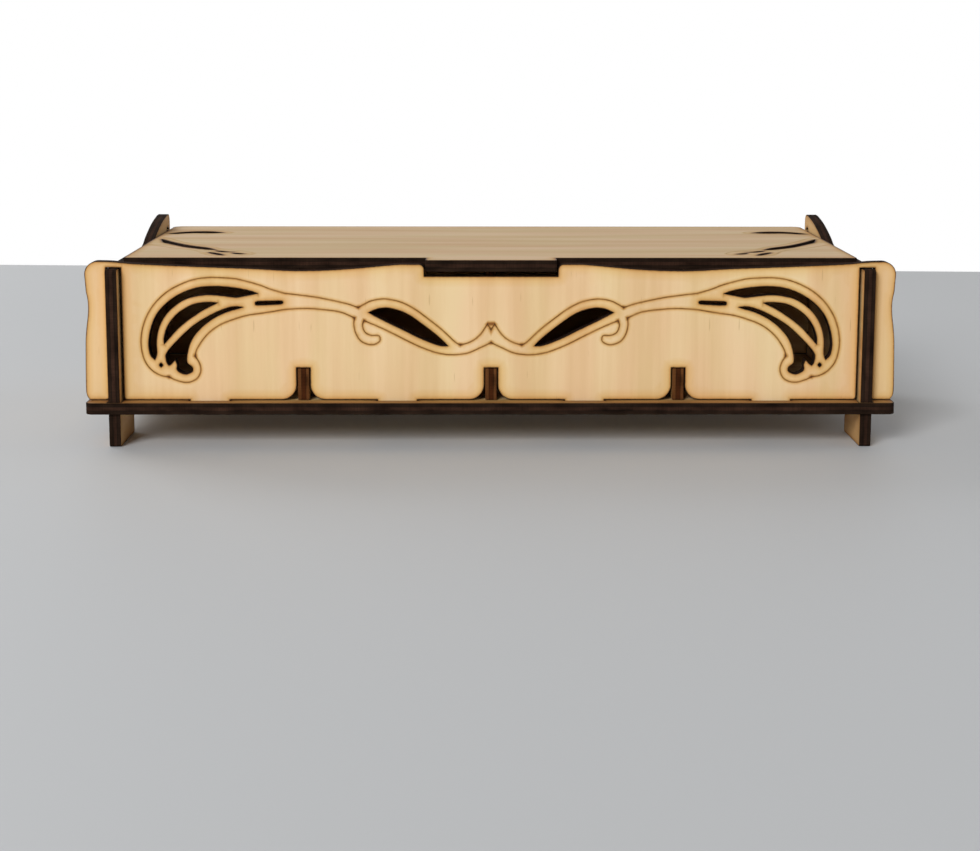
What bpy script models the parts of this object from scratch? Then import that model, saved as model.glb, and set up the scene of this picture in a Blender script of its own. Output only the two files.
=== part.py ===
"""A box with four compartments and a hinged lid, cut from flat plywood sheet.

Every piece is one sheet, drawn as a flat outline with its holes and given the sheet's thickness.
Lengths are in metres. X runs along the box, Y from front to back and Z up. The drawing puts Y = 0 on
the front panel's face; the empty at the end moves the whole box so that it is centred on the origin.
"""
import math

import bmesh
import bpy

# Sheet and clearances
sheet = 0.004
gap = 0.0003
slot_play = 0.0004
side_slot_play = 0.0009
hinge_play = 0.0003
lid_side_play = 0.0006
notch_play = 0.0004

# The inside
compartments = 4
compartment_width = 0.062
compartment_depth = 0.093
compartment_height = 0.04565

# Feet and overhangs
foot_height = 0.01185
foot_length = 0.0261
side_overhang = 0.0084
base_side_overhang = 0.008
base_edge_margin = 0.0014
side_front_proud = 0.0039
side_rear_proud = 0.0095

# Corner radii
base_corner = 0.0025
panel_corner = 0.0054
slot_flare = 0.0054
side_slot_flare = 0.0012
foot_corner = 0.001
lid_front_corner = 0.001
lid_rear_corner = 0.004
tab_corner = 0.0012
notch_flare = 0.002
ear_corner = 0.003
divider_corner = 0.002

# Front panel
front_height = 0.04955
front_bridge = 0.0024
front_waist = 0.0015
front_shoulder = 0.0002
front_tuck = 0.0012
front_tuck_height = 0.0024
divider_slot_height = 0.0114
base_tab_width = 0.014
notch_depth = 0.0018

# Rear panel
tenon_height = 0.010
tenon_lift_shares = (0.19, 0.62)

# Lid
lid_front_gap = 0.002
lid_tail = 0.0143
finger_tab_width = 0.046
finger_tab_proud = 0.0014
pivot_setback = 0.004

# Ears
ear_rise = 0.0082

# Smoothness of the curves
corner_steps = 5
curve_steps = 3
pivot_steps = 32

# What follows from the sizes
pitch = compartment_width + sheet
half_sheet = sheet / 2
half_slot = half_sheet + slot_play
side_x = pitch * compartments / 2
side_inner_x = side_x - half_sheet
side_outer_x = side_x + half_sheet
panel_half = side_outer_x + side_overhang
base_half = side_outer_x + base_side_overhang
base_bottom = foot_height
base_top = foot_height + sheet
wall_foot = base_top + gap
wall_top = base_top + compartment_height
lid_bottom = wall_top + gap
front_back_y = sheet
rear_front_y = sheet + compartment_depth
rear_back_y = rear_front_y + sheet
side_front_y = -side_front_proud
side_rear_y = rear_back_y + side_rear_proud
base_front_y = side_front_y - base_edge_margin
base_rear_y = side_rear_y + base_edge_margin
front_top = base_top + front_height
front_slot_top = front_top - front_bridge
divider_slot_top = wall_foot + divider_slot_height
pivot_y = rear_back_y + pivot_setback
pivot_z = lid_bottom + half_sheet
pivot_radius = math.hypot(half_sheet, half_sheet) + hinge_play
lid_half = side_inner_x - lid_side_play
lid_front_y = front_back_y + lid_front_gap
lid_rear_y = pivot_y + lid_tail
finger_half = finger_tab_width / 2
notch_bottom = lid_bottom - notch_depth
ear_top = pivot_z + ear_rise
divider_xs = [pitch * (index - compartments / 2) for index in range(1, compartments)]
cell_xs = [pitch * (index + 0.5 - compartments / 2) for index in range(compartments)]
tab_xs = cell_xs
foot_ys = [(side_front_y, side_front_y + foot_length), (side_rear_y - foot_length, side_rear_y)]
tenon_zs = [wall_foot + share * compartment_height for share in tenon_lift_shares]
box_centre_y = (base_front_y + lid_rear_y) / 2

# The front panel's top edge from the notch outwards: shares of the half panel's width and of the
# top edge's fall, counted up from its lowest point.
top_fall = 0.0034
top_edge_shares = [
    (0.214, 0.66), (0.244, 0.60), (0.369, 0.14), (0.479, 0.0), (0.588, 0.22), (0.713, 0.41),
    (0.858, 0.67), (0.927, 0.90),
]

# The front panel's end, which swells low down and draws in to a waist: shares of the panel's height
# and of the waist's depth.
end_shares = [(0.20, 0.0), (0.34, 0.11), (0.44, 0.22), (0.53, 0.52), (0.60, 0.85), (0.66, 1.0), (0.72, 0.95),
              (0.78, 0.60)]

# The side panel's top edge behind the front panel: shares of the length from the front panel's
# back to the side's rear end, and of the rise from the wall's top to the ear's top.
side_edge_shares = [
    (0.0, 0.137), (0.14, 0.151), (0.26, 0.151), (0.38, 0.137), (0.51, 0.067), (0.57, 0.113),
    (0.625, 0.216), (0.67, 0.393), (0.755, 0.645), (0.84, 0.841), (0.93, 0.973),
]

# The cut-outs of the scroll on the front panel's right half: shares of the half panel's width and
# of the panel's height. Each has two tips, joined by two smooth edges.
scroll_shares = {
    "outer crescent": (
        (0.574, 0.769),
        [(0.598, 0.791), (0.638, 0.811), (0.682, 0.819), (0.724, 0.806), (0.763, 0.764), (0.797, 0.698),
         (0.823, 0.612), (0.838, 0.503), (0.843, 0.400), (0.839, 0.330)],
        (0.829, 0.297),
        [(0.824, 0.340), (0.824, 0.430), (0.817, 0.525), (0.801, 0.612), (0.777, 0.681), (0.745, 0.735),
         (0.698, 0.760), (0.653, 0.751), (0.627, 0.742), (0.600, 0.755)],
    ),
    "middle leaf": (
        (0.672, 0.702),
        [(0.698, 0.705), (0.733, 0.688), (0.769, 0.627), (0.793, 0.546), (0.804, 0.462)],
        (0.805, 0.408),
        [(0.794, 0.445), (0.767, 0.528), (0.738, 0.594), (0.704, 0.658)],
    ),
    "inner leaf with its club": (
        (0.611, 0.671),
        [(0.638, 0.672), (0.678, 0.630), (0.729, 0.545), (0.771, 0.436), (0.798, 0.348), (0.801, 0.300),
         (0.794, 0.255)],
        (0.779, 0.298),
        [(0.774, 0.258), (0.774, 0.219), (0.756, 0.192), (0.738, 0.209), (0.738, 0.243), (0.750, 0.275),
         (0.748, 0.351), (0.736, 0.446), (0.711, 0.531), (0.682, 0.594), (0.649, 0.639), (0.626, 0.658)],
    ),
    "slit": (
        (0.579, 0.699),
        [(0.575, 0.710), (0.543, 0.714), (0.516, 0.715)],
        (0.512, 0.705),
        [(0.516, 0.695), (0.543, 0.690), (0.575, 0.687)],
    ),
    "drop": (
        (0.814, 0.271),
        [(0.818, 0.257)],
        (0.814, 0.243),
        [(0.810, 0.257)],
    ),
    "wing": (
        (0.301, 0.633),
        [(0.277, 0.660), (0.248, 0.662), (0.209, 0.625), (0.166, 0.541), (0.128, 0.453)],
        (0.107, 0.394),
        [(0.130, 0.400), (0.173, 0.448), (0.217, 0.511), (0.262, 0.574)],
    ),
}

# The cut-outs in the lid's right corner: shares of the half lid's width and of the length from the
# lid's front edge to the pivot.
lid_scroll_shares = {
    "rear crescent": (
        (0.982, 0.835),
        [(0.955, 0.893), (0.925, 0.922), (0.895, 0.935), (0.862, 0.930), (0.838, 0.912)],
        (0.815, 0.880),
        [(0.840, 0.862), (0.870, 0.858), (0.900, 0.862), (0.930, 0.852), (0.958, 0.830)],
    ),
    "front crescent": (
        (0.976, 0.635),
        [(0.955, 0.583), (0.930, 0.525), (0.900, 0.465), (0.868, 0.408), (0.835, 0.363), (0.805, 0.325)],
        (0.776, 0.254),
        [(0.800, 0.262), (0.835, 0.300), (0.868, 0.340), (0.900, 0.400), (0.930, 0.460), (0.955, 0.515)],
    ),
    "first drop": (
        (0.784, 0.174),
        [(0.772, 0.163), (0.753, 0.133), (0.739, 0.095)],
        (0.737, 0.077),
        [(0.749, 0.087), (0.767, 0.121), (0.782, 0.155)],
    ),
    "second drop": (
        (0.771, 0.227),
        [(0.760, 0.222), (0.745, 0.206), (0.733, 0.194)],
        (0.714, 0.187),
        [(0.738, 0.176), (0.755, 0.190), (0.768, 0.212)],
    ),
    "third drop": (
        (0.717, 0.156),
        [(0.706, 0.151), (0.692, 0.138)],
        (0.681, 0.121),
        [(0.694, 0.113), (0.710, 0.128)],
    ),
}


def arc(centre_u, centre_v, radius, start, end, steps):
    """Points on an arc from one angle to another, both ends included."""
    points = []
    for index in range(steps + 1):
        angle = start + (end - start) * index / steps
        points.append((centre_u + radius * math.cos(angle), centre_v + radius * math.sin(angle)))
    return points


def fillet(before, corner, after, radius):
    """The corner between two straight edges, rounded to the given radius."""
    if radius <= 0:
        return [corner]
    to_before = (before[0] - corner[0], before[1] - corner[1])
    to_after = (after[0] - corner[0], after[1] - corner[1])
    length_before = math.hypot(*to_before)
    length_after = math.hypot(*to_after)
    unit_before = (to_before[0] / length_before, to_before[1] / length_before)
    unit_after = (to_after[0] / length_after, to_after[1] / length_after)
    cosine = unit_before[0] * unit_after[0] + unit_before[1] * unit_after[1]
    half_angle = math.acos(max(-1.0, min(1.0, cosine))) / 2
    reach = min(radius / math.tan(half_angle), length_before / 2, length_after / 2)
    radius = reach * math.tan(half_angle)
    start = (corner[0] + unit_before[0] * reach, corner[1] + unit_before[1] * reach)
    end = (corner[0] + unit_after[0] * reach, corner[1] + unit_after[1] * reach)
    middle = (unit_before[0] + unit_after[0], unit_before[1] + unit_after[1])
    length = math.hypot(*middle)
    away = radius / math.sin(half_angle)
    centre = (corner[0] + middle[0] / length * away, corner[1] + middle[1] / length * away)
    first = math.atan2(start[1] - centre[1], start[0] - centre[0])
    last = math.atan2(end[1] - centre[1], end[0] - centre[0])
    turn = (last - first + math.pi) % (2 * math.pi) - math.pi
    return arc(centre[0], centre[1], radius, first, first + turn, corner_steps)


def rounded(corners):
    """A closed outline from corners (u, v) or (u, v, radius)."""
    points = []
    count = len(corners)
    for index, corner in enumerate(corners):
        radius = corner[2] if len(corner) > 2 else 0.0
        points += fillet(corners[index - 1][:2], corner[:2], corners[(index + 1) % count][:2], radius)
    return points


def smooth(points, steps=curve_steps):
    """A smooth open curve through the points (Catmull-Rom), both ends included."""
    padded = [points[0]] + list(points) + [points[-1]]
    result = []
    for index in range(len(points) - 1):
        p0, p1, p2, p3 = padded[index:index + 4]
        for step in range(steps):
            t = step / steps
            result.append(tuple(
                0.5 * (2 * b + (c - a) * t + (2 * a - 5 * b + 4 * c - d) * t * t
                       + (3 * b - a - 3 * c + d) * t ** 3)
                for a, b, c, d in zip(p0, p1, p2, p3)
            ))
    result.append(tuple(points[-1]))
    return result


def mirrored(points):
    """The same points on the other side of the middle, in reverse order."""
    return [(-u, *rest) for u, *rest in reversed(points)]


def cut_out(shares, width, foot, height):
    """One closed cut-out from its two tips and two edges, given in shares."""
    tip_one, edge_one, tip_two, edge_two = shares
    there = smooth([tip_one] + edge_one + [tip_two])
    back = smooth([tip_two] + edge_two + [tip_one])
    return [(u * width, foot + v * height) for u, v in there[:-1] + back[:-1]]


def rectangle(left, right, low, high):
    """A closed rectangle."""
    return [(left, low), (right, low), (right, high), (left, high)]


def make_material(name, colour, roughness):
    """A plain surface for one piece."""
    material = bpy.data.materials.new(name)
    material.use_nodes = True
    shader = material.node_tree.nodes["Principled BSDF"]
    shader.inputs["Base Color"].default_value = (*colour, 1.0)
    shader.inputs["Roughness"].default_value = roughness
    shader.inputs["Metallic"].default_value = 0.0
    material.diffuse_color = (*colour, 1.0)
    return material


def make_sheet(name, loops, near, far, place, origin, colour, roughness=0.5):
    """A flat sheet: the first loop is its outline and the others are holes in it.

    place turns (u, v, depth) into a point of the box, and origin is the piece's own origin.
    """
    work = bmesh.new()
    edges = []
    for loop in loops:
        corners = [work.verts.new((u, v, 0)) for u, v in loop]
        for index, corner in enumerate(corners):
            edges.append(work.edges.new((corners[index - 1], corner)))
    bmesh.ops.triangle_fill(work, edges=edges, use_beauty=True)
    grown = bmesh.ops.extrude_face_region(work, geom=list(work.faces), use_keep_orig=True)
    raised = {item for item in grown["geom"] if isinstance(item, bmesh.types.BMVert)}
    for vertex in work.verts:
        depth = far if vertex in raised else near
        x, y, z = place(vertex.co.x, vertex.co.y, depth)
        vertex.co = (x - origin[0], y - origin[1], z - origin[2])
    bmesh.ops.recalc_face_normals(work, faces=list(work.faces))
    mesh = bpy.data.meshes.new(name)
    work.to_mesh(mesh)
    work.free()
    mesh.materials.append(make_material(name, colour, roughness))
    piece = bpy.data.objects.new(name, mesh)
    piece.location = origin
    bpy.context.scene.collection.objects.link(piece)
    return piece


def upright(u, v, depth):
    """A sheet that stands across the box: u along X, v up."""
    return (u, depth, v)


def lengthwise(u, v, depth):
    """A sheet that stands from front to back: u along Y, v up."""
    return (depth, u, v)


def flat(u, v, depth):
    """A sheet that lies flat: u along X, v along Y."""
    return (u, v, depth)


birch = (0.78, 0.56, 0.34)
birch_pale = (0.80, 0.62, 0.42)
birch_shaded = (0.62, 0.43, 0.25)


def front_outline():
    """The front panel, from the middle of its bottom edge round its right half, then mirrored."""
    corners = []
    slots = [x for x in divider_xs if x >= 0] + [side_x]
    for x in slots:
        at_side = x == side_x
        top = front_slot_top if at_side else divider_slot_top
        flare = side_slot_flare if at_side else slot_flare
        inward = side_slot_play if at_side else slot_play
        if x > 0:
            left = x - half_sheet - inward
            corners += [(left, wall_foot, flare), (left, top)]
        corners += [(x + half_slot, top), (x + half_slot, wall_foot, flare)]
        for tab_x in [tab for tab in tab_xs if x < tab < x + pitch and not at_side]:
            left = tab_x - base_tab_width / 2
            right = tab_x + base_tab_width / 2
            corners += [(left, wall_foot), (left, base_bottom), (right, base_bottom), (right, wall_foot)]
    lowest = front_top - top_fall
    side_edge = smooth(
        [(panel_half - front_tuck, wall_foot), (panel_half, wall_foot + front_tuck_height)]
        + [(panel_half - depth * front_waist, base_top + up * front_height) for up, depth in end_shares]
    )
    top_edge = smooth([(share * panel_half, lowest + rise * top_fall) for share, rise in top_edge_shares])
    corners += side_edge
    corners += [(panel_half - front_shoulder, front_top, panel_corner)]
    corners += list(reversed(top_edge))
    notch_half = finger_half + notch_play
    corners += [(notch_half, top_edge[0][1], notch_flare), (notch_half, notch_bottom)]
    return rounded(corners + mirrored(corners))


def make_front_panel():
    """The front, with the scroll cut through it."""
    loops = [front_outline()]
    for shares in scroll_shares.values():
        hole = cut_out(shares, panel_half, base_top, front_height)
        loops += [hole, mirrored(hole)]
    return make_sheet("front_panel", loops, 0, sheet, upright, (0, half_sheet, base_top), birch)


def make_rear_panel():
    """The back wall, held between the sides by its tenons and to the base by its tabs."""
    inner = side_inner_x - gap
    outer = side_outer_x
    corners = [(0, wall_foot)]
    for tab_x in [tab for tab in tab_xs if tab > 0]:
        left = tab_x - base_tab_width / 2
        right = tab_x + base_tab_width / 2
        corners += [(left, wall_foot), (left, base_bottom), (right, base_bottom), (right, wall_foot)]
    corners.append((inner, wall_foot))
    for low in tenon_zs:
        corners += [(inner, low), (outer, low), (outer, low + tenon_height), (inner, low + tenon_height)]
    corners.append((inner, wall_top))
    outline = rounded(corners + mirrored(corners[1:]))
    slots = []
    for x in divider_xs:
        slots.append(rectangle(x - half_slot, x + half_slot, divider_slot_top - divider_slot_height + gap,
                               divider_slot_top))
    return make_sheet("rear_panel", [outline] + slots, rear_front_y, rear_back_y, upright,
                      (0, rear_front_y + half_sheet, base_top), birch_shaded)


def make_divider(name, x):
    """A partition, with a tongue through the front panel and one through the rear panel."""
    low = wall_foot
    body_front = front_back_y + gap
    body_rear = rear_front_y - gap
    tongue_front = divider_slot_top - gap
    tongue_low = low + 2 * gap
    outline = rounded([
        (0, low), (body_rear, low), (body_rear, tongue_low), (rear_back_y, tongue_low),
        (rear_back_y, tongue_front), (body_rear, tongue_front), (body_rear, wall_top, divider_corner),
        (body_front, wall_top, divider_corner), (body_front, tongue_front), (0, tongue_front),
    ])
    return make_sheet(name, [outline], x - half_sheet, x + half_sheet, lengthwise,
                      (x, rear_back_y / 2, low), birch_shaded)


def make_side_panel(name, side):
    """A side wall on its two feet, with the ear that carries the lid."""
    behind = front_back_y + gap
    length = side_rear_y - behind
    front_level = front_slot_top - gap
    rise = ear_top - wall_top
    top_edge = smooth([(behind + share * length, wall_top + up * rise) for share, up in side_edge_shares])
    (front_foot_y, front_foot_end), (rear_foot_y, rear_foot_end) = foot_ys
    corners = [
        (front_foot_y, 0, foot_corner), (front_foot_end, 0, foot_corner), (front_foot_end, wall_foot),
        (rear_foot_y, wall_foot), (rear_foot_y, 0, foot_corner), (rear_foot_end, 0, foot_corner),
        (side_rear_y, ear_top, ear_corner),
    ]
    corners += list(reversed(top_edge))
    corners += [(behind, front_level), (side_front_y, front_level, foot_corner)]
    loops = [rounded(corners)]
    loops.append(arc(pivot_y, pivot_z, pivot_radius, 0, 2 * math.pi, pivot_steps)[:-1])
    for low in tenon_zs:
        loops.append(rectangle(rear_front_y - gap, rear_back_y + gap, low - gap, low + tenon_height + gap))
    x = side * side_x
    return make_sheet(name, loops, x - half_sheet, x + half_sheet, lengthwise,
                      (x, side_front_y, 0), birch_shaded)


def make_base_plate():
    """The bottom, slotted for the panels' tabs and the sides' feet."""
    corners = [
        (-base_half, base_front_y, base_corner), (base_half, base_front_y, base_corner),
        (base_half, base_rear_y, base_corner), (-base_half, base_rear_y, base_corner),
    ]
    loops = [rounded(corners)]
    for x in tab_xs:
        half = base_tab_width / 2 + gap
        loops.append(rectangle(x - half, x + half, -gap, sheet + gap))
        loops.append(rectangle(x - half, x + half, rear_front_y - gap, rear_back_y + gap))
    for side in (-1, 1):
        for front, rear in foot_ys:
            x = side * side_x
            loops.append(rectangle(x - half_sheet - gap, x + half_sheet + gap, front - gap, rear + gap))
    return make_sheet("base_plate", loops, base_bottom, base_top, flat, (0, 0, base_bottom), birch)


def make_lid():
    """The lid in one sheet with its finger tab and its two pins; its origin is on the hinge."""
    pin_front = pivot_y - half_sheet
    pin_rear = pivot_y + half_sheet
    right = [
        (finger_half, -finger_tab_proud, tab_corner), (finger_half, lid_front_y),
        (lid_half, lid_front_y, lid_front_corner), (lid_half, pin_front), (side_outer_x, pin_front),
        (side_outer_x, pin_rear), (lid_half, pin_rear), (lid_half, lid_rear_y, lid_rear_corner),
    ]
    loops = [rounded(right + mirrored(right))]
    for shares in lid_scroll_shares.values():
        hole = cut_out(shares, lid_half, lid_front_y, pivot_y - lid_front_y)
        loops += [hole, mirrored(hole)]
    return make_sheet("lid", loops, lid_bottom, lid_bottom + sheet, flat, (0, pivot_y, pivot_z), birch_pale)


def main():
    """Build the box and centre it on the origin."""
    for old in list(bpy.data.objects):
        bpy.data.objects.remove(old, do_unlink=True)
    centre = bpy.data.objects.new("box_centre", None)
    centre.location = (0, -box_centre_y, 0)
    bpy.context.scene.collection.objects.link(centre)
    divider_names = ["divider_left", "divider_middle", "divider_right"]
    pieces = [
        make_base_plate(),
        make_front_panel(),
        make_rear_panel(),
        make_side_panel("left_side_panel", -1),
        make_side_panel("right_side_panel", 1),
        make_lid(),
    ]
    for name, x in zip(divider_names, divider_xs):
        pieces.append(make_divider(name, x))
    for piece in pieces:
        piece.parent = centre
    bpy.context.view_layer.update()
    for piece in pieces:
        print(piece.name, "triangles", len(piece.data.polygons))


main()
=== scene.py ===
# %% [markdown]
# # A compartment box of laser-cut plywood
#
# The real object is a flat kit: nine pieces of 4 mm birch plywood, cut by a laser and pushed together.
# The same laser draws the thin brown line of the scroll ornament. Two things give such a box its look:
# the pale, faintly streaked birch on the broad faces, and the charred, nearly black cut edges.
#
# The solids come ready-made and stay where they are. Each sheet could be dressed with a material
# alone, but then its edges would be knife-sharp and the drawn line would be paint. So each sheet is
# built again from its own outline, with eased edges, a real groove and a measured distance to the cut.

# %% Load the frame
import math

import bmesh
import bpy
import numpy as np
from mathutils import Matrix, Vector
from mathutils.geometry import delaunay_2d_cdt


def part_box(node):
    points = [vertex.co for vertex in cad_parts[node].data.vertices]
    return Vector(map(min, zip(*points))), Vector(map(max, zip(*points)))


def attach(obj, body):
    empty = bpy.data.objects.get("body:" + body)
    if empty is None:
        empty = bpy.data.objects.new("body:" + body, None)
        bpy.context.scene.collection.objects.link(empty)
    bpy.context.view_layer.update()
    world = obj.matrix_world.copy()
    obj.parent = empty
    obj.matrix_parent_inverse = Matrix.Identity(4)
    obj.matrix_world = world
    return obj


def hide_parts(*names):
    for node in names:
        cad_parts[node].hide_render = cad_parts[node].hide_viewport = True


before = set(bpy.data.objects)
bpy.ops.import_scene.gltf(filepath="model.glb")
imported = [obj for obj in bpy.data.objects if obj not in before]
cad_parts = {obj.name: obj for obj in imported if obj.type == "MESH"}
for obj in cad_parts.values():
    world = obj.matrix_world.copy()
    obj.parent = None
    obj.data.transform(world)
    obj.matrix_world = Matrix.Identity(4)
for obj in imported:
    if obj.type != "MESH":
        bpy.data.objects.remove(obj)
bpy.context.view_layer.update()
mm = 0.001
print("nodes:", ", ".join(sorted(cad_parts)))

# %% [markdown]
# ## Reading a sheet
#
# A sheet is a flat drawing with a thickness, so its outline and holes say everything about it. They
# could be typed in again, but reading them from the solid keeps every tab and slot exactly in place.
# The sides of one broad face that border on nothing flat are the rings; walking from point to point
# puts them in order. The outline then runs counter-clockwise and each hole clockwise, so that the
# wood is always on the left of the walk.

# %% Read the rings round a sheet
weld = 1e-6


def signed_area(ring):
    """Positive for a ring that runs counter-clockwise."""
    ahead = np.roll(ring, -1, axis=0)
    return ((ring[:, 0] * ahead[:, 1]) - (ring[:, 1] * ahead[:, 0])).sum() / 2


def read_sheet(node_name):
    """A sheet's rings in millimetres, the outline first, with its axes (u, v, thin) and its depths."""
    solid = bmesh.new()
    solid.from_mesh(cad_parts[node_name].data)
    bmesh.ops.remove_doubles(solid, verts=solid.verts, dist=weld)
    solid.verts.index_update()
    spots = np.array([vertex.co for vertex in solid.verts]) / mm
    thin = int(np.argmin(np.ptp(spots, axis=0)))
    u, v = [axis for axis in range(3) if axis != thin]
    near, far = spots[:, thin].min(), spots[:, thin].max()
    on_near = spots[:, thin] < (near + far) / 2
    beside = {}
    for edge in solid.edges:
        first, last = [vertex.index for vertex in edge.verts]
        flat = [face for face in edge.link_faces if all(on_near[corner.index] for corner in face.verts)]
        if on_near[first] and on_near[last] and len(flat) == 1:
            beside.setdefault(first, []).append(last)
            beside.setdefault(last, []).append(first)
    solid.free()
    rings = []
    while beside:
        start = next(iter(beside))
        walk = [start, beside[start][0]]
        while walk[-1] != start:
            onward = [point for point in beside[walk[-1]] if point != walk[-2]]
            walk.append(onward[0])
        walk.pop()
        for point in walk:
            beside.pop(point)
        rings.append(spots[walk][:, [u, v]])
    rings.sort(key=lambda ring: -abs(signed_area(ring)))
    turned = [rings[0] if signed_area(rings[0]) > 0 else rings[0][::-1]]
    turned += [ring if signed_area(ring) < 0 else ring[::-1] for ring in rings[1:]]
    return turned, (u, v, thin), (near, far)


front_rings, front_axes, front_depths = read_sheet("front_panel")
print("front panel:", len(front_rings), "rings,", len(front_rings[0]), "points in its outline")

# %% [markdown]
# ## Rounding out the curves
#
# The solid's curves are short straight steps. A subdivision modifier would soften the square corners
# as well, so the rings are refined here instead. Each point gets a direction from its neighbours. A
# turn above 28 degrees is a corner and stays sharp, and beside a long straight run the run's own
# direction counts. Between two points a cubic curve follows both directions.

# %% Refine a ring
corner_turn = math.radians(28)
bent_turn = math.radians(1.5)
long_ratio = 2.5
curve_step = 0.6
straight_step = 2.0


def unit(vectors):
    """The same directions with length one."""
    return vectors / np.linalg.norm(vectors, axis=1, keepdims=True)


def refine(ring):
    """The ring with its curves rounded out and its straight runs split up, in millimetres."""
    steps = np.roll(ring, -1, axis=0) - ring
    lengths = np.linalg.norm(steps, axis=1)
    ways = unit(steps)
    ways_in = np.roll(ways, 1, axis=0)
    lengths_in = np.roll(lengths, 1)
    turns = np.arccos(np.clip((ways * ways_in).sum(axis=1), -1, 1))
    soft = unit(ways_in * lengths[:, None] + ways * lengths_in[:, None])
    soft = np.where((lengths > long_ratio * lengths_in)[:, None], ways, soft)
    soft = np.where((lengths_in > long_ratio * lengths)[:, None], ways_in, soft)
    corner = (turns > corner_turn)[:, None]
    leaving = np.where(corner, ways, soft)
    arriving = np.roll(np.where(corner, ways_in, soft), -1, axis=0)
    bent = (turns > bent_turn) & (turns <= corner_turn)
    bent = bent | np.roll(bent, -1)
    points = []
    for index, start in enumerate(ring):
        length = lengths[index]
        count = math.ceil(length / (curve_step if bent[index] else straight_step))
        for t in np.arange(count) / count:
            points.append(
                (1 + 2 * t) * (1 - t) ** 2 * start + t * (1 - t) ** 2 * length * leaving[index]
                + t * t * (3 - 2 * t) * (start + steps[index]) - t * t * (1 - t) * length * arriving[index]
            )
    return np.clip(points, ring.min(axis=0), ring.max(axis=0))


refined_outline = refine(front_rings[0])
print("front outline:", len(front_rings[0]), "points become", len(refined_outline))

# %% [markdown]
# ## Offsets and distances
#
# Heat from the laser browns the wood most at the cut and hardly at all 3 mm away. A shader can't
# measure how far a point is from an outline, but the mesh can carry that distance on its points. Three
# small tools are enough: one moves a line sideways, one measures to the nearest line, and one tells
# wood from air by counting how many sides of the rings lie to the right of a point.

# %% Offset, measure, and tell wood from air
sharpest_miter = 2.0
chunk = 500


def looped(ring):
    """A ring as a line that ends where it starts."""
    return np.vstack([ring, ring[:1]])


def aside(line, distance, closed):
    """The line moved to its left by a distance."""
    ways = unit(np.diff(looped(line) if closed else line, axis=0))
    if closed:
        before, after = np.roll(ways, 1, axis=0), ways
    else:
        before, after = np.vstack([ways[:1], ways]), np.vstack([ways, ways[-1:]])
    mean = unit(before + after)
    stretch = 1 / np.maximum((mean * after).sum(axis=1), 1 / sharpest_miter)
    left = np.column_stack([-mean[:, 1], mean[:, 0]])
    return line + left * (distance * stretch)[:, None]


def nearest(points, lines):
    """Each point's distance to the nearest of the lines."""
    starts = np.vstack([line[:-1] for line in lines])
    spans = np.vstack([np.diff(line, axis=0) for line in lines])
    squares = (spans ** 2).sum(axis=1)
    found = []
    for first in range(0, len(points), chunk):
        apart = points[first:first + chunk, None, :] - starts
        share = np.clip((apart * spans).sum(axis=2) / squares, 0, 1)
        found.append(np.sqrt(((apart - share[:, :, None] * spans) ** 2).sum(axis=2).min(axis=1)))
    return np.concatenate(found)


def in_wood(points, rings):
    """Whether each point lies in the wood between the rings."""
    sides = np.zeros(len(points), int)
    for ring in rings:
        for (u0, v0), (u1, v1) in zip(ring, np.roll(ring, -1, axis=0)):
            level = np.flatnonzero((v0 > points[:, 1]) != (v1 > points[:, 1]))
            reach = u0 + (points[level, 1] - v0) * (u1 - u0) / (v1 - v0) if len(level) else 0
            sides[level] += points[level, 0] < reach
    return sides % 2 == 1


middle_of_slot = np.array([[0.0, 20.0], [10.0, 40.0]])
print("air, then wood:", in_wood(middle_of_slot, front_rings))

# %% [markdown]
# ## A net over a broad face
#
# The brown near a cut changes within half a millimetre, so the face needs points close to the cuts
# and few elsewhere. A grid fine enough for that would be huge. A constrained triangulation takes the
# outlines and the groove as fixed sides and any loose points in between, and joins them with the
# best-shaped triangles. The loose points lie on offsets of the rings, closest near the cut.
#
# A groove is three lines: its two banks at the surface and its bed, which is pushed down afterwards.
# Where it ends, the banks meet in the bed's last point.

# %% Make the net
arris = 0.12
ring_offsets = (0.4, 0.85, 1.6, 3.0)
line_half = 0.15
line_offsets = (0.5, 1.3)
open_step = 6.0
open_margin = 1.0
cell_share = 0.45
line_cell_share = 0.8
clear_share = 0.9
exact = 1e-6


def thinned(points, cell):
    """At most one point in each square cell."""
    kept = np.unique(np.round(points / cell).astype(int), axis=0, return_index=True)[1]
    return points[np.sort(kept)]


def loose_points(rings, beds):
    """Points for the open wood, in rows along the cuts and the grooves and sparse beyond."""
    cuts = [looped(ring) for ring in rings]
    rows = []
    for offset in ring_offsets:
        row = thinned(np.vstack([aside(ring, offset, True) for ring in rings]), cell_share * offset)
        rows.append(row[nearest(row, cuts) > clear_share * offset])
    low, high = rings[0].min(axis=0), rings[0].max(axis=0)
    grid = np.stack(np.meshgrid(*[np.arange(a, b, open_step) for a, b in zip(low, high)]), axis=-1)
    grid = grid.reshape(-1, 2)
    rows.append(grid[nearest(grid, cuts) > ring_offsets[-1] + open_margin])
    points = np.vstack(rows)
    for offset in line_offsets if beds else ():
        row = np.vstack([aside(bed, side, False) for bed in beds for side in (-offset, offset)])
        row = thinned(row, line_cell_share * offset)
        row = row[nearest(row, beds) > clear_share * offset]
        points = points[nearest(points, beds) > line_offsets[0]]
        points = np.vstack([points, row[nearest(row, cuts) > ring_offsets[0]]])
    return points[in_wood(points, rings)]


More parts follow.
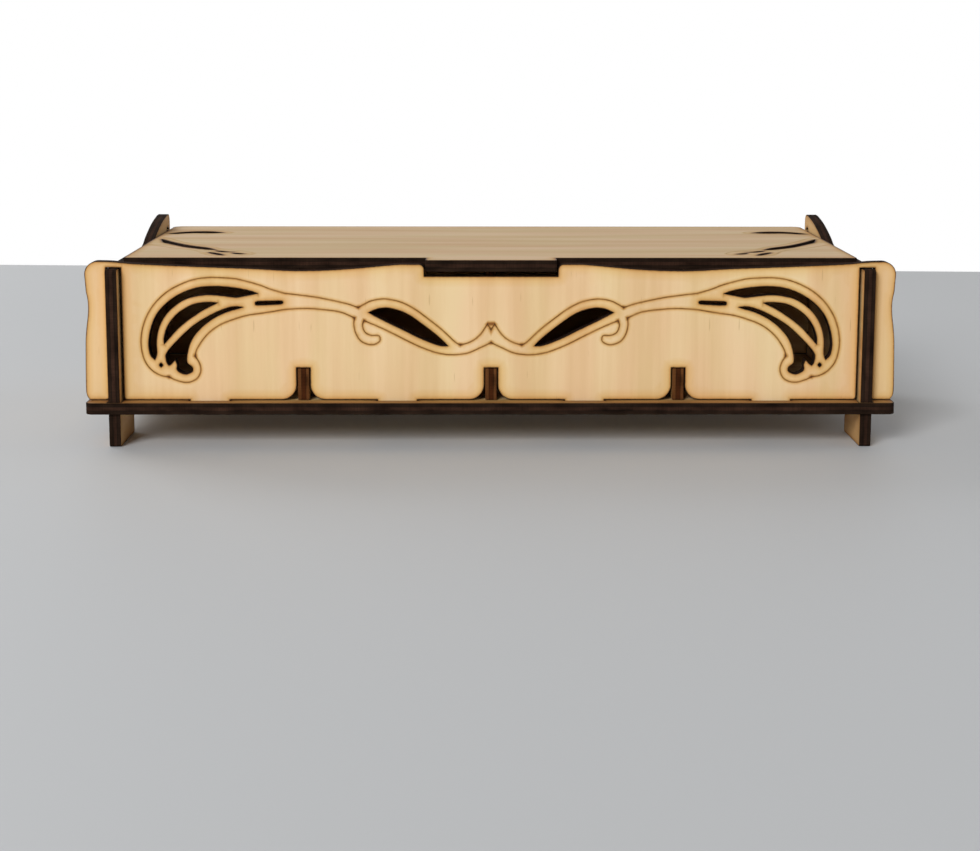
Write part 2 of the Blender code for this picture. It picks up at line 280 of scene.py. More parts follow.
def make_net(rings, beds=()):
    """Triangles over the wood: (points, triangles, which points are a groove's bed)."""
    points, sides = [], []
    for ring in rings:
        first = len(points)
        points += list(ring)
        sides += [(first + index, first + (index + 1) % len(ring)) for index in range(len(ring))]
    bed_points = set()
    for bed in beds:
        around = np.allclose(bed[0], bed[-1])
        ends = 0 if around else 1
        for offset in (line_half, 0, -line_half):
            line = aside(bed[:-1] if around else bed, offset, around)
            if not around:
                line[0], line[-1] = bed[0], bed[-1]
            first = len(points)
            points += list(line)
            last = len(points) - 1
            sides += [(index, index + 1) for index in range(first, last)]
            if around:
                sides.append((last, first))
            if not offset:
                bed_points |= set(range(first + ends, last + 1 - ends))
    points += list(loose_points(rings, beds))
    flat = [Vector(point) for point in points]
    spots, _, faces, origins, _, _ = delaunay_2d_cdt(flat, sides, [], 0, exact)
    spots = np.array(spots)
    faces = np.array(faces)
    faces = faces[in_wood(spots[faces].mean(axis=1), rings)]
    sunk = np.array([any(origin in bed_points for origin in group) for group in origins])
    return spots, faces, sunk


# %% [markdown]
# ## The two broad faces
#
# A sheet is first gathered as lists. Each corner of each face gets a place on a flat map in
# millimetres: across and along the grain here, along the cut and through the sheet on the edges. With
# such a map, every pattern's scale is a real length. Each point also carries three distances: to the
# cut, to the drawn line, and to the line's sharp turns.

# %% Gather a broad face
groove_depth = 0.15
far_away = 9.0
bed_share = 0.95
near_side, far_side = range(2)
birch, char, drawn = range(3)
distances = ("to_cut", "to_line", "to_turn")


def put(net, axes, points, depth):
    """Add points of the drawing at a depth, and give the first one's number."""
    u, v, thin = axes
    first = len(net["spots"])
    made = np.empty((len(points), 3))
    made[:, u], made[:, v], made[:, thin] = points[:, 0], points[:, 1], depth
    net["spots"].extend(made)
    return first


def add_broad_face(net, axes, rings, cuts, depth, outward, lines, turns, flip, shift):
    """Add one broad face, with a groove along each of its lines."""
    points, triangles, sunk = make_net(rings, lines)
    first = put(net, axes, points, depth - outward * groove_depth * sunk)
    from_lines = [nearest(points, lines)] if lines else []
    from_turns = [np.linalg.norm(points - turn, axis=1) for turn in turns if lines]
    net["to_cut"].extend(nearest(points, cuts))
    for title, found in (("to_line", from_lines), ("to_turn", from_turns)):
        net[title].extend(np.minimum.reduce([np.full(len(points), far_away), *found]))
    middles = points[triangles].mean(axis=1)
    in_line = nearest(middles, lines) < bed_share * line_half if lines else np.zeros(len(middles), bool)
    net["faces"].extend(triangles + first)
    net["places"].extend((points[triangles][:, :, ::flip] + shift).reshape(-1, 2))
    net["kinds"].extend(np.where(in_line, drawn, birch))


print("distances carried by each point:", ", ".join(distances))

# %% [markdown]
# ## The cut edge
#
# The edge is a band of four rows round each ring. Its outer two rows are pulled in by a tenth of a
# millimetre, which eases the sharp arris as sanding does and gives it something to catch the light.

# %% Gather an edge
def add_edge_band(net, axes, edge, eased, depths):
    """Add the burnt cut along one ring: a strip between two narrow ones, the eased arrises."""
    near, far = depths
    count = len(edge)
    run = np.concatenate([[0], np.cumsum(np.linalg.norm(np.diff(looped(edge), axis=0), axis=1))])
    levels = [near, near + arris, far - arris, far]
    rows = [put(net, axes, line, level) for line, level in zip((eased, edge, edge, eased), levels)]
    net["to_cut"].extend([arris] * count + [0.0] * 2 * count + [arris] * count)
    for title in ("to_line", "to_turn"):
        net[title].extend([far_away] * len(rows) * count)
    for low, high, below, above in zip(rows, rows[1:], levels, levels[1:]):
        for index in range(count):
            after = (index + 1) % count
            here, there = run[index], run[index + 1]
            net["faces"].append((low + index, low + after, high + after, high + index))
            net["places"].extend([(here, below - near), (there, below - near)])
            net["places"].extend([(there, above - near), (here, above - near)])
            net["kinds"].append(char)


print("eased arris in mm:", arris)

# %% [markdown]
# ## One closed mesh
#
# The lists become a mesh, and the points that the faces and the edges share are welded, so that the
# sheet is closed. Shading stays smooth along the curves and sharp at the arrises.

# %% Build a sheet
smooth_up_to = math.radians(32)


def write_mesh(name, net):
    """The gathered lists as a welded mesh, and how many of its sides are open."""
    mesh = bpy.data.meshes.new(name)
    mesh.from_pydata(np.array(net["spots"]) * mm, [], [list(map(int, face)) for face in net["faces"]])
    sheet_map = mesh.uv_layers.new(name="sheet_mm")
    sheet_map.data.foreach_set("uv", np.array(net["places"], np.float32).ravel())
    mesh.polygons.foreach_set("material_index", np.array(net["kinds"], np.int32))
    for title in distances:
        carried = mesh.attributes.new(title, "FLOAT", "POINT")
        carried.data.foreach_set("value", np.array(net[title], np.float32))
    joined = bmesh.new()
    joined.from_mesh(mesh)
    bmesh.ops.remove_doubles(joined, verts=joined.verts, dist=weld)
    bmesh.ops.recalc_face_normals(joined, faces=joined.faces)
    open_sides = sum(not edge.is_manifold for edge in joined.edges)
    joined.to_mesh(mesh)
    joined.free()
    mesh.shade_smooth()
    mesh.set_sharp_from_angle(angle=smooth_up_to)
    return mesh, open_sides


def build_sheet(name, node_name, grain, shift, beds=(), turns=(), drawn_side=None):
    """A sheet of its own. grain is the axis that the grain follows, and shift moves its pattern."""
    rings, axes, depths = read_sheet(node_name)
    edges = [refine(ring) for ring in rings]
    inner = [aside(edge, arris, True) for edge in edges]
    cuts = [looped(edge) for edge in edges]
    flip = -1 if grain == axes[0] else 1
    net = {title: [] for title in ("spots", "faces", "places", "kinds", *distances)}
    for side, outward in ((near_side, -1), (far_side, 1)):
        lines = list(beds) if side == drawn_side else []
        moved = shift * (1 + side)
        add_broad_face(net, axes, inner, cuts, depths[side], outward, lines, turns, flip, moved)
    for edge, eased in zip(edges, inner):
        add_edge_band(net, axes, edge, eased, depths)
    mesh, open_sides = write_mesh(name, net)
    piece = bpy.data.objects.new(name, mesh)
    bpy.context.scene.collection.objects.link(piece)
    print(f"{name}: {len(mesh.polygons)} faces, {open_sides} open sides")
    return piece


# %% [markdown]
# ## The drawn line of the front
#
# Round the cut-outs the laser, at low power, draws one closed line: a wave along the middle, a curl
# on each side and a rounded head at each end. It is written here as strokes from one sharp turn to
# the next, in millimetres to the right of the middle and above the base plate. Each stroke becomes a
# smooth curve through its points, and the left half is the mirror of the right.

# %% Lay out the front's line
front_strokes = {
    "peak": [(0, 25.23), (1.25, 27.35)],
    "inner slope": [(1.25, 27.35), (3.4, 24.02), (5.5, 22), (8.0, 20.64), (10.75, 19.88)],
    "arch": [
        (10.75, 19.88), (12.6, 20.89), (17.2, 25.23), (22.5, 29.47), (27.1, 32.8), (31.5, 35.02),
        (35.8, 36.03), (38.6, 36.13), (42.2, 35.42), (44.8, 34.11), (46.5, 33.15),
    ],
    "upper stem": [(46.5, 33.15), (51.2, 34.66), (59.85, 36.53), (65.8, 37.39), (72.2, 38.15)],
    "head": [
        (72.2, 38.15), (77.0, 39.56), (80.6, 40.97), (85.1, 42.28), (89.5, 43.29), (94.8, 43.65),
        (99.25, 43.65), (103.7, 42.99), (108.25, 41.38), (112.9, 38.85), (117.1, 35.12), (120.1, 30.78),
        (121.95, 26.14), (122.7, 21.6), (122.4, 17.21), (121.2, 13.52), (118.95, 10.7), (116.0, 8.98),
        (113.2, 8.48),
    ],
    "club": [
        (113.2, 8.48), (111.15, 7.47), (108.05, 6.56), (105.5, 6.76), (103.15, 8.12), (102.0, 10.7),
        (102.4, 13.32), (103.9, 15.94),
    ],
    "lower stem": [
        (103.9, 15.94), (103.2, 18.37), (100.65, 22.25), (97.75, 25.13), (94.15, 27.4), (89.65, 29.11),
        (85.3, 30.38), (80.8, 31.03), (76.3, 31.74), (71.9, 32.44), (65.15, 32.8), (59.9, 32.5),
        (53.0, 31.59), (47.85, 29.47),
    ],
    "curl": [
        (47.85, 29.47), (48.1, 27.15), (47.4, 23.87), (45.65, 21.24), (43.15, 20.08), (41.05, 20.03),
        (39.2, 21.04), (38.9, 22.1), (39.5, 23.21), (42.25, 23.31), (44.25, 24.47), (45.1, 26.79),
        (44.55, 28.51),
    ],
    "tail": [
        (44.55, 28.51), (38.6, 25.94), (32.85, 23.11), (27.1, 20.18), (22.5, 18.22), (18.6, 16.95),
        (13.7, 16.35), (8.3, 16.95), (3.7, 18.92), (0, 20.69),
    ],
}
stroke_step = 0.7
curve_samples = 12


def through_points(points):
    """A smooth open line through the points, made of cubic curves, in even short steps."""
    points = np.array(points, float)
    held = np.vstack([2 * points[0] - points[1], points, 2 * points[-1] - points[-2]])
    dense = []
    for p0, p1, p2, p3 in zip(held, held[1:], held[2:], held[3:]):
        for t in np.arange(curve_samples) / curve_samples:
            dense.append(0.5 * (2 * p1 + (p2 - p0) * t + (2 * p0 - 5 * p1 + 4 * p2 - p3) * t * t
                                + (3 * p1 - p0 - 3 * p2 + p3) * t ** 3))
    dense = np.vstack([dense, points[-1:]])
    run = np.concatenate([[0], np.cumsum(np.linalg.norm(np.diff(dense, axis=0), axis=1))])
    even = np.linspace(0, run[-1], max(2, math.ceil(run[-1] / stroke_step) + 1))
    return np.column_stack([np.interp(even, run, dense[:, axis]) for axis in range(2)])


def mirrored(line):
    """The line on the other side of the middle, run the other way."""
    return line[::-1] * (-1, 1)


base_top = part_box("base_plate")[1].z / mm
half_line = np.vstack([through_points(stroke)[:-1] for stroke in front_strokes.values()])
half_line = np.vstack([half_line, (0, front_strokes["tail"][-1][1])])
front_bed = np.vstack([half_line[:-1], mirrored(half_line)]) + (0, base_top)
half_turns = [stroke[0] for title, stroke in front_strokes.items() if title != "head"] + [half_line[-1]]
front_turns = [np.array((side * turn[0], turn[1] + base_top)) for turn in half_turns for side in (-1, 1)]
print("front line:", round(np.linalg.norm(np.diff(front_bed, axis=0), axis=1).sum()), "mm long")

# %% [markdown]
# ## The drawn line of the lid
#
# Each end of the lid has two curved slits and three drops. Seen from the front the lid is very
# foreshortened, and little of a line round them can be made out. So one line goes round the front
# slit with its drops, and another round the rear slit, at the distance that the front panel's line
# keeps. Both start and end near the lid's side. They are given in millimetres to the right of the
# middle and behind the lid's front edge, which lies 2 mm behind the front panel.

# %% Lay out the lid's lines
lid_strokes = {
    "front": [
        (127.6, 43.5), (124.2, 39.4), (120.1, 34.9), (116.1, 30.9), (111.9, 27.6), (107.9, 23.6),
        (105.2, 19.0), (103.4, 14.0), (101.0, 9.0), (97.4, 5.3), (93.0, 4.6), (89.0, 6.6),
        (86.0, 9.6), (84.9, 13.4), (86.6, 17.4), (90.0, 21.6), (94.6, 25.2), (98.8, 28.6),
        (101.8, 34.0), (105.6, 38.4), (109.8, 42.9), (113.6, 47.9), (117.4, 53.8), (120.4, 59.2),
        (123.2, 64.6), (125.4, 67.6), (127.6, 70.2),
    ],
    "rear": [
        (127.6, 77.0), (123.0, 79.2), (119.8, 80.7), (116.5, 81.6), (112.5, 81.3), (108.0, 81.9),
        (104.0, 84.2), (102.2, 87.2), (103.6, 90.6), (106.5, 93.4), (110.8, 95.6), (116.0, 96.1),
        (121.0, 94.5), (125.4, 91.0), (127.6, 88.2),
    ],
}
front_gap = 2.0
lid_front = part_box("front_panel")[1].y / mm + front_gap
right_beds = [through_points(stroke) + (0, lid_front) for stroke in lid_strokes.values()]
lid_beds = right_beds + [mirrored(bed) for bed in right_beds]
lid_lengths = [np.linalg.norm(np.diff(bed, axis=0), axis=1).sum() for bed in lid_beds]
print("lid lines in mm:", [round(length) for length in lid_lengths])

# %% [markdown]
# ## Colours and nodes
#
# Colours are easiest to pick as the hex codes of a paint program, which are sRGB. Shaders work with
# linear light, so one function converts them. Another adds a node with its settings and links in one
# line; with it a material reads like a list of steps.

# %% Colour and node helpers
def linear(code):
    """An sRGB hex colour as linear RGBA."""
    shares = [int(code[start:start + 2], 16) / 255 for start in (1, 3, 5)]
    parts = [share / 12.92 if share <= 0.04045 else ((share + 0.055) / 1.055) ** 2.4 for share in shares]
    return (*parts, 1)


def add(tree, kind, sockets=None, stops=(), **settings):
    """Add a node. sockets gives values or outputs by socket, and stops the (place, colour) of a ramp."""
    node = tree.nodes.new(kind)
    for name, value in settings.items():
        setattr(node, name, value)
    for socket, value in (sockets or {}).items():
        if isinstance(value, bpy.types.NodeSocket):
            tree.links.new(value, node.inputs[socket])
        else:
            node.inputs[socket].default_value = value
    for index, (place, colour) in enumerate(stops):
        ramp = node.color_ramp.elements
        stop = ramp[index] if index < 2 else ramp.new(place)
        stop.position = place
        stop.color = linear(colour)
    return node


def new_material(name):
    """An empty node material and its Principled shader."""
    material = bpy.data.materials.new(name)
    material.use_nodes = True
    return material, material.node_tree, material.node_tree.nodes["Principled BSDF"]


print("white in linear light:", linear("#FFFFFF"))

# %% [markdown]
# ## Sanded birch veneer
#
# The faces of birch plywood are rotary-cut veneer: peeled from a turning log, so the growth rings show
# as soft, wide bands and not as crisp lines. On top come faint streaks of one or two millimetres, fine
# pores a few millimetres long, and now and then a short brown fleck. Sanding leaves it matt. Each
# pattern is one noise, squeezed across the grain and drawn out along it, with both sizes given in
# millimetres. Real pores are under 0.1 mm wide; here they are 0.35 mm, the least that shows.
#
# The laser's heat and smoke work as a filter over the wood: a ramp of tints, read by the distance to
# the cut and multiplied with the wood's colour. The first tenth of a millimetre is scorched dark
# brown, tan follows, and a yellow tinge fades out by 4 mm. The lid is scorched a little wider, and its
# drawn line leaves hardly a trace beside it. The inner sheets are left as they come from the laser,
# unsanded, so the smoke's stain still lies on them, wider and browner. The base plate's tint is
# browner still and reaches further in from its cuts.

# %% Lay out the birch's patterns and tints
birch_patterns = (
    ("patch", 17, 75, 1), ("band", 11, 170, 2), ("streak", 2.2, 50, 2), ("pore", 0.35, 5, 1),
    ("fleck", 0.8, 9, 0), ("wander", 1.3, 1.3, 2),
)
grain_weights = (("band", 0.74), ("streak", 0.21), ("pore", 0.05))
scorched, untouched = "#3A2C22", "#FFFFFF"
sanded_filters = {
    "to_cut": (4.0, (
        (0.0, scorched), (0.03, scorched), (0.08, "#C8AB7C"), (0.2, "#EEDDB8"), (0.4, "#F9F0DB"),
        (1.0, untouched),
    )),
    "to_line": (1.2, (
        (0.0, "#BFA276"), (0.12, "#BFA276"), (0.3, "#E2CDA6"), (0.5, "#F8F0DC"), (1.0, untouched),
    )),
    "to_turn": (1.3, (
        (0.0, "#8A6A44"), (0.25, "#A88860"), (0.6, "#E6D6B8"), (1.0, untouched),
    )),
}
lid_filters = {
    "to_cut": (4.0, (
        (0.0, scorched), (0.06, "#4A3624"), (0.16, "#B2946A"), (0.3, "#E6D5B2"), (0.5, "#F8F0DE"),
        (1.0, untouched),
    )),
    "to_line": (1.2, (
        (0.0, "#EADBBB"), (0.3, "#F4EBD6"), (1.0, untouched),
    )),
}
smoked_filters = {
    "to_cut": (9.0, (
        (0.0, scorched), (0.015, scorched), (0.04, "#C2A984"), (0.15, "#E4D7C2"), (0.4, "#EEE4D3"),
        (0.7, "#F8F3EA"), (1.0, untouched),
    )),
}
# The base plate: a browner tint, darkest at its cuts and fading out about 8 mm in from them.
rim_filters = {
    "to_cut": (9.0, (
        (0.0, scorched), (0.03, scorched), (0.07, "#9A8260"), (0.3, "#AD9876"), (0.6, "#C9B693"),
        (0.85, "#EFE4CE"), (1.0, untouched),
    )),
}
print("reach of the sanded stain in mm:", sanded_filters["to_cut"][0])

# %% [markdown]
# ## The birch as nodes
#
# Band, streak and pore are added up to one value, the grain. It picks the colour from three close
# tones, and also sets the roughness and a relief of a few hundredths of a millimetre. The widest
# pattern tints whole areas a little pinker or yellower, and the flecks are laid over it. Before each
# filter reads a distance, a fine noise shifts it by up to a tenth of a millimetre, so that no stain
# ends along a perfect line.

# %% Make the birch
fleck_brown, fleck_strength = "#A97C4C", 0.32
wander_width = 0.2
grain_relief, grain_relief_strength = 0.03, 0.3
rough_hollow, rough_crest = 0.72, 0.6
birch_ior = 1.5
matt_specular = 0.25


def make_birch(name, pale, mid, deep, filters):
    """Rotary-cut birch veneer, browned by the laser near its cuts."""
    material, tree, shader = new_material(name)
    sheet_map = add(tree, "ShaderNodeUVMap", uv_map="sheet_mm").outputs[0]
    noises = {}
    for title, across, along, detail in birch_patterns:
        size = (1 / across, 1 / along, 1)
        drawn_out = add(tree, "ShaderNodeVectorMath", {0: sheet_map, 1: size},
                        operation="MULTIPLY").outputs[0]
        noise = add(tree, "ShaderNodeTexNoise", {"Vector": drawn_out, "Scale": 1, "Detail": detail},
                    noise_dimensions="2D")
        noises[title] = noise.outputs[0]
    grain = 0.0
    for title, weight in grain_weights:
        grain = add(tree, "ShaderNodeMath", {0: noises[title], 1: weight, 2: grain},
                    operation="MULTIPLY_ADD").outputs[0]
    colour = add(tree, "ShaderNodeValToRGB", {0: grain},
                 stops=((0.34, deep), (0.5, mid), (0.66, pale))).outputs[0]
    patch = add(tree, "ShaderNodeValToRGB", {0: noises["patch"]},
                stops=((0.4, "#FFF9F4"), (0.6, "#FDFDF4"))).outputs[0]
    colour = add(tree, "ShaderNodeMix", {0: 1.0, 6: colour, 7: patch}, data_type="RGBA",
                 blend_type="MULTIPLY").outputs[2]
    fleck = add(tree, "ShaderNodeMapRange",
                {0: noises["fleck"], 1: 0.87, 2: 0.94, 4: fleck_strength}).outputs[0]
    colour = add(tree, "ShaderNodeMix", {0: fleck, 6: colour, 7: linear(fleck_brown)},
                 data_type="RGBA").outputs[2]
    wander = add(tree, "ShaderNodeMath", {0: noises["wander"], 1: 0.5}, operation="SUBTRACT").outputs[0]
    for attribute, (reach, tints) in filters.items():
        distance = add(tree, "ShaderNodeAttribute", attribute_name=attribute).outputs["Fac"]
        distance = add(tree, "ShaderNodeMath", {0: wander, 1: wander_width, 2: distance},
                       operation="MULTIPLY_ADD").outputs[0]
        distance = add(tree, "ShaderNodeMath", {0: distance, 1: reach}, operation="DIVIDE").outputs[0]
        tint = add(tree, "ShaderNodeValToRGB", {0: distance}, stops=tints).outputs[0]
        colour = add(tree, "ShaderNodeMix", {0: 1.0, 6: colour, 7: tint}, data_type="RGBA",
                     blend_type="MULTIPLY").outputs[2]
    rough = add(tree, "ShaderNodeMapRange",
                {0: grain, 1: 0.35, 2: 0.65, 3: rough_hollow, 4: rough_crest}).outputs[0]
    relief = add(tree, "ShaderNodeBump", {
        "Strength": grain_relief_strength, "Distance": grain_relief * mm, "Height": grain,
    }).outputs[0]
    tree.links.new(colour, shader.inputs["Base Color"])
    tree.links.new(rough, shader.inputs["Roughness"])
    tree.links.new(relief, shader.inputs["Normal"])
    shader.inputs["IOR"].default_value = birch_ior
    shader.inputs["Specular IOR Level"].default_value = matt_specular
    return material


front_birch = make_birch("sanded_birch_veneer", "#E9CDA4", "#E4C59A", "#DEBD91", sanded_filters)
# Painted shade and painted sheen: the lid's tones are greyer and darker than the front's, standing for the
# lesser light on its top and the grey sheen across it.
lid_birch = make_birch("greyer_birch_with_painted_shade_and_sheen", "#D0B694", "#CBB08C", "#C6A883", lid_filters)
unsanded_tones = ("#E4C79B", "#DAB98B", "#CDA878")
bare_birch = make_birch("bare_birch_veneer", *unsanded_tones, smoked_filters)
base_birch = make_birch("browner_base_birch_veneer", *unsanded_tones, rim_filters)
print("made", ", ".join(material.name for material in (front_birch, lid_birch, bare_birch, base_birch)))

# %% [markdown]
# ## Charred edges
#
# The laser burns its way through three plies. The two outer veneers burn nearly black, the core
# between them, cut across its grain, stays a little redder, and a thin black line of scorched glue
# runs on each side of it. The beam leaves fine ridges straight through the sheet. The map's second
# coordinate is the depth in the sheet, from 0 to 4 mm, so a ramp over it draws the plies, and patches
# of soot shift them a little. Soot is very matt: its specular level is far below a varnish's, or the
# edge would mirror the white room. The partitions were cut a little faster, and stay browner.

# %% Make the charred edge
sheet_thickness = 4.0
soot_shift = 0.5
char_patterns = (("ridge", 0.45, 9), ("soot", 9, 3))
ridge_relief, ridge_relief_strength = 0.06, 0.5
shade_hollow, shade_crest = 1.7, 2.3
char_ior = 1.45
soot_roughness = 0.9
soot_specular = 0.05


def make_char(name, veneer, core, glue):
    """The burnt cut through three plies of birch."""
    material, tree, shader = new_material(name)
    edge_map = add(tree, "ShaderNodeUVMap", uv_map="sheet_mm").outputs[0]
    noises = {}
    for title, along, through in char_patterns:
        size = (1 / along, 1 / through, 1)
        drawn_out = add(tree, "ShaderNodeVectorMath", {0: edge_map, 1: size},
                        operation="MULTIPLY").outputs[0]
        noise = add(tree, "ShaderNodeTexNoise", {"Vector": drawn_out, "Scale": 1, "Detail": 2},
                    noise_dimensions="2D")
        noises[title] = noise.outputs[0]
    ridge, soot = noises["ridge"], noises["soot"]
    depth = add(tree, "ShaderNodeSeparateXYZ", {0: edge_map}).outputs[1]
    depth = add(tree, "ShaderNodeMath", {0: soot, 1: soot_shift, 2: depth},
                operation="MULTIPLY_ADD").outputs[0]
    depth = add(tree, "ShaderNodeMath", {0: depth, 1: sheet_thickness + soot_shift},
                operation="DIVIDE").outputs[0]
    colour = add(tree, "ShaderNodeValToRGB", {0: depth}, stops=(
        (0.0, glue), (0.07, veneer), (0.3, veneer), (0.35, glue), (0.4, core), (0.63, core),
        (0.68, glue), (0.73, veneer), (0.94, veneer), (1.0, glue),
    )).outputs[0]
    # Painted shade: the colour follows the ridges, darker in their hollows and lighter on their crests,
    # and the soot then darkens it in patches.
    shade = add(tree, "ShaderNodeMapRange",
                {0: ridge, 1: 0.3, 2: 0.7, 3: shade_hollow, 4: shade_crest}).outputs[0]
    shade = add(tree, "ShaderNodeMath", {0: shade, 1: soot}, operation="MULTIPLY").outputs[0]
    colour = add(tree, "ShaderNodeVectorMath", {0: colour, 3: shade}, operation="SCALE").outputs[0]
    relief = add(tree, "ShaderNodeBump", {
        "Strength": ridge_relief_strength, "Distance": ridge_relief * mm, "Height": ridge,
    }).outputs[0]
    tree.links.new(colour, shader.inputs["Base Color"])
    tree.links.new(relief, shader.inputs["Normal"])
    shader.inputs["Roughness"].default_value = soot_roughness
    shader.inputs["IOR"].default_value = char_ior
    shader.inputs["Specular IOR Level"].default_value = soot_specular
    return material


charred_edge = make_char("charred_plywood_edge", "#231811", "#2F1F17", "#18110C")
partition_edge = make_char("charred_partition_edge", "#5E3A1E", "#44230F", "#2A150A")
print("made", charred_edge.name, "and", partition_edge.name)

# %% [markdown]
# ## The burnt line
#
# Where the laser only draws, it scorches a shallow groove a third of a millimetre wide. Its brown
# comes and goes a little, and it is darkest at the sharp turns, where the beam slows down. The lid's
# line is fainter.

# %% Make the burnt line
patch_size = 5
lingering_brown, lingering_share = "#4E3216", 0.9
lingering_from, lingering_to = 0.3, 1.8
line_roughness = 0.75


def make_burnt_line(name, light, dark):
    """Wood scorched brown at low power."""
    material, tree, shader = new_material(name)
    sheet_map = add(tree, "ShaderNodeUVMap", uv_map="sheet_mm").outputs[0]
    patchy = add(tree, "ShaderNodeTexNoise", {"Vector": sheet_map, "Scale": 1 / patch_size, "Detail": 2},
                 noise_dimensions="2D").outputs[0]
    colour = add(tree, "ShaderNodeValToRGB", {0: patchy}, stops=((0.35, dark), (0.65, light))).outputs[0]
    turn = add(tree, "ShaderNodeAttribute", attribute_name="to_turn").outputs["Fac"]
    linger = add(tree, "ShaderNodeMapRange",
                 {0: turn, 1: lingering_from, 2: lingering_to, 3: lingering_share, 4: 0.0}).outputs[0]
    colour = add(tree, "ShaderNodeMix", {0: linger, 6: colour, 7: linear(lingering_brown)},
                 data_type="RGBA").outputs[2]
    tree.links.new(colour, shader.inputs["Base Color"])
    shader.inputs["Roughness"].default_value = line_roughness
    shader.inputs["Specular IOR Level"].default_value = matt_specular
    return material


burnt_line = make_burnt_line("laser_scorched_line", "#9C7541", "#7A5729")
faint_line = make_burnt_line("faint_scorched_line", "#C2A67D", "#B2946B")
print("made", burnt_line.name, "and", faint_line.name)

# %% [markdown]
# ## Dressing the sheets
#
# On the front panel the grain runs upwards, and on the lid it runs along the box. The hidden sheets
# follow what a maker would do: grain along the longest side, upwards on the short partitions. Each
# sheet reads another part of the pattern, as if cut from another part of the board.

# %% Build and place every sheet
x, y, z = range(3)
finishes = {
    "base": ("plywood_outer", base_birch, charred_edge),
    "front": ("plywood_outer", front_birch, charred_edge, burnt_line),
    "lid": ("plywood_outer", lid_birch, charred_edge, faint_line),
    "wall": ("plywood_inner", bare_birch, charred_edge),
    "partition": ("plywood_inner", bare_birch, partition_edge),
}
front_drawing = {"beds": [front_bed], "turns": front_turns, "drawn_side": near_side}
lid_drawing = {"beds": lid_beds, "drawn_side": far_side}
sheets = [
    ("base_sheet", "base_plate", x, "base", {}),
    ("front_sheet", "front_panel", z, "front", front_drawing),
    ("rear_sheet", "rear_panel", x, "wall", {}),
    ("left_side_sheet", "left_side_panel", y, "wall", {}),
    ("right_side_sheet", "right_side_panel", y, "wall", {}),
    ("left_partition", "divider_left", z, "partition", {}),
    ("middle_partition", "divider_middle", z, "partition", {}),
    ("right_partition", "divider_right", z, "partition", {}),
    ("lid_sheet", "lid", x, "lid", lid_drawing),
]
pattern_gap = 431.0
for number, (name, node_name, grain, finish, drawing) in enumerate(sheets, start=1):
    slot, *materials = finishes[finish]
    piece = build_sheet(name, node_name, grain, number * pattern_gap, **drawing)
    for material in materials:
        piece.data.materials.append(material)
    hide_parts(node_name)
    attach(piece, "lid" if node_name == "lid" else "box")

# %% [markdown]
# ## The stage
#
# The box stands on a plain pale table in front of white. The table ends behind the box, along a line
# that is not quite square to the view, so white shows above its far edge. The world is white to the
# camera and to reflections, and much dimmer as a light: the lamps decide how bright the wood is.

# %% Set the table and the background
table_material, table_tree, table_shader = new_material("pale_table_top")
table_grey, table_roughness = "#C4C6C8", 0.6
table_shader.inputs["Base Color"].default_value = linear(table_grey)
table_shader.inputs["Roughness"].default_value = table_roughness
table_level = -0.05 * mm
table_corners = [(-3.0, -2.0), (3.0, -2.0), (3.0, 0.296), (-3.0, 0.626)]
table_mesh = bpy.data.meshes.new("table_top")
table_mesh.from_pydata([(*corner, table_level) for corner in table_corners], [], [(0, 1, 2, 3)])
table_mesh.materials.append(table_material)
table = bpy.data.objects.new("table_top", table_mesh)
bpy.context.scene.collection.objects.link(table)

world = bpy.data.worlds.new("white_studio")
bpy.context.scene.world = world
world.use_nodes = True
world_tree = world.node_tree
ray = add(world_tree, "ShaderNodeLightPath").outputs
seen = ray["Is Camera Ray"]
for other in ("Is Glossy Ray", "Is Transmission Ray"):
    seen = add(world_tree, "ShaderNodeMath", {0: seen, 1: ray[other]}, operation="MAXIMUM").outputs[0]
fill_strength = 0.2
strength = add(world_tree, "ShaderNodeMapRange", {0: seen, 3: fill_strength, 4: 1.0}).outputs[0]
background = world_tree.nodes["Background"]
background.inputs["Color"].default_value = (1, 1, 1, 1)
world_tree.links.new(strength, background.inputs["Strength"])
print("table's far edge, in metres behind the box's middle:", [corner[1] for corner in table_corners[2:]])

# %% [markdown]
# ## Soft studio light
#
# One large lamp stands well away in front of the box, to the left. It is far enough off to light the
# panel evenly from end to end, and since it comes from the left, the inner face of each right-hand
# sheet is bright and that of each left-hand one is dim. Two weaker lamps, one behind on the left and
# one beyond the right end, keep the back and the ends from going dark, and hardly touch the front.

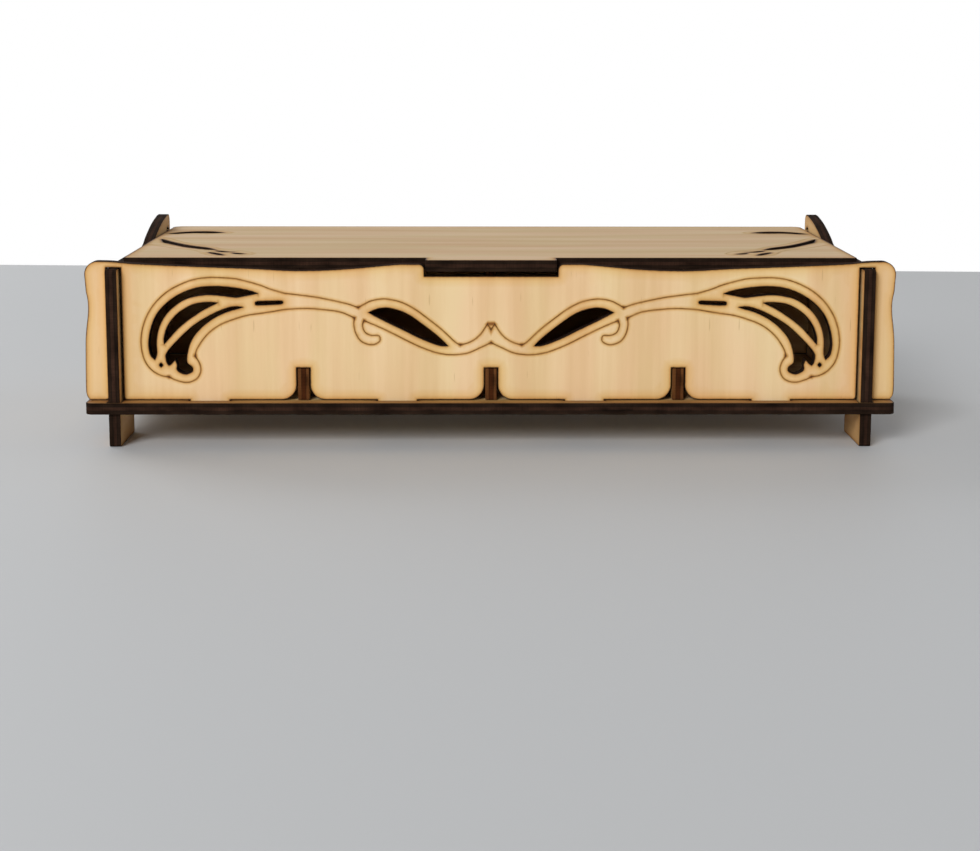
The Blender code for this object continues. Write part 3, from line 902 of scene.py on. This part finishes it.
# %% Light the box
lamps = (
    ("key_lamp", (-1.30, -2.70, 1.61), 1.4, 93.0),
    ("rear_lamp", (-1.5, 1.35, 1.0), 1.0, 16.0),
    ("side_lamp", (2.2, 0.35, 0.8), 1.0, 6.0),
)
lamp_target = Vector((0, 0, 0.03))
for name, place, side, power in lamps:
    lamp_data = bpy.data.lights.new(name, "AREA")
    lamp_data.shape = "SQUARE"
    lamp_data.size = side
    lamp_data.energy = power
    lamp = bpy.data.objects.new(name, lamp_data)
    lamp.location = place
    lamp.rotation_euler = (lamp_target - Vector(place)).to_track_quat("-Z", "Y").to_euler()
    bpy.context.scene.collection.objects.link(lamp)
bpy.context.scene.view_settings.view_transform = "Standard"
print("lamps:", ", ".join(lamp[0] for lamp in lamps))

# %% [markdown]
# ## The camera
#
# The photograph was taken from in front and a little above, nearly level. These values come from the
# straight edges of the box: where they would meet gives the tilt and the lens, and the size of the
# sheets gives the distance. The picture's centre lies below the lens axis, which a shift makes good.

# %% Place the camera
image_width = 980
image_height = 851
focal_pixels = 1802.39
axis_row = 320.0
camera_place = (-0.0077, -0.68205, 0.1388)
tilt, turn, roll = 0.1496, 0.0117, 0.0019
sensor_width = 36.0
ahead = Vector((math.sin(turn) * math.cos(tilt), math.cos(turn) * math.cos(tilt), -math.sin(tilt)))
right = Vector((math.cos(turn), -math.sin(turn), 0))
upward = right.cross(ahead)
leaning = Matrix.Rotation(-roll, 3, ahead)
right, upward = leaning @ right, leaning @ upward
camera_data = bpy.data.cameras.new("camera")
camera_data.sensor_fit = "HORIZONTAL"
camera_data.sensor_width = sensor_width
camera_data.lens = focal_pixels / image_width * sensor_width
camera_data.shift_y = (axis_row - image_height / 2) / image_width
camera = bpy.data.objects.new("camera", camera_data)
facing = Matrix((right, upward, -ahead)).transposed().to_4x4()
camera.matrix_world = Matrix.Translation(camera_place) @ facing
bpy.context.scene.collection.objects.link(camera)
bpy.context.scene.camera = camera
print("lens", round(camera_data.lens, 1), "mm, shift", round(camera_data.shift_y, 3))
